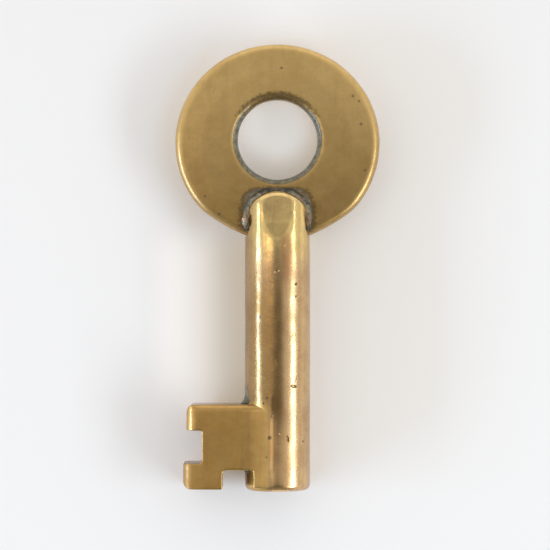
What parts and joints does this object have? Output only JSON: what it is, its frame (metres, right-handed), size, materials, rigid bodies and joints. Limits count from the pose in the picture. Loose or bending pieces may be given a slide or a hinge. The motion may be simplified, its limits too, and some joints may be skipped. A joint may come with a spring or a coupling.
{
  "type": "switch key",
  "caption": "Hollow-barrel brass key with a flat oval ring bow, a warded bit and brazed joints, for a lock with a drill pin.",
  "frame": {"origin": "centre of the barrel's mouth, on the axis of its bore", "axes": "+Y along the barrel towards the bow, -X towards the bit, +Z out of the front face"},
  "size_m": [0.0248, 0.054, 0.008],
  "materials": {
    "bow_brass": "aged olive-gold brass, worn bright along its edges",
    "barrel_brass": "handled brass, pinkish gold, polished by use, with casting pits",
    "bit_brass": "aged golden-brown brass with worn edges",
    "braze": "dark grey-green tarnished braze with a coppery gleam"
  },
  "bodies": {
    "root": {"bow": "bow_brass", "barrel": "barrel_brass", "bit": "bit_brass", "bow_braze_front": "braze", "bow_braze_back": "braze", "bit_braze_front": "barrel_brass", "bit_braze_back": "barrel_brass", "bit_braze_corners": "braze"}
  },
  "joints": []
}
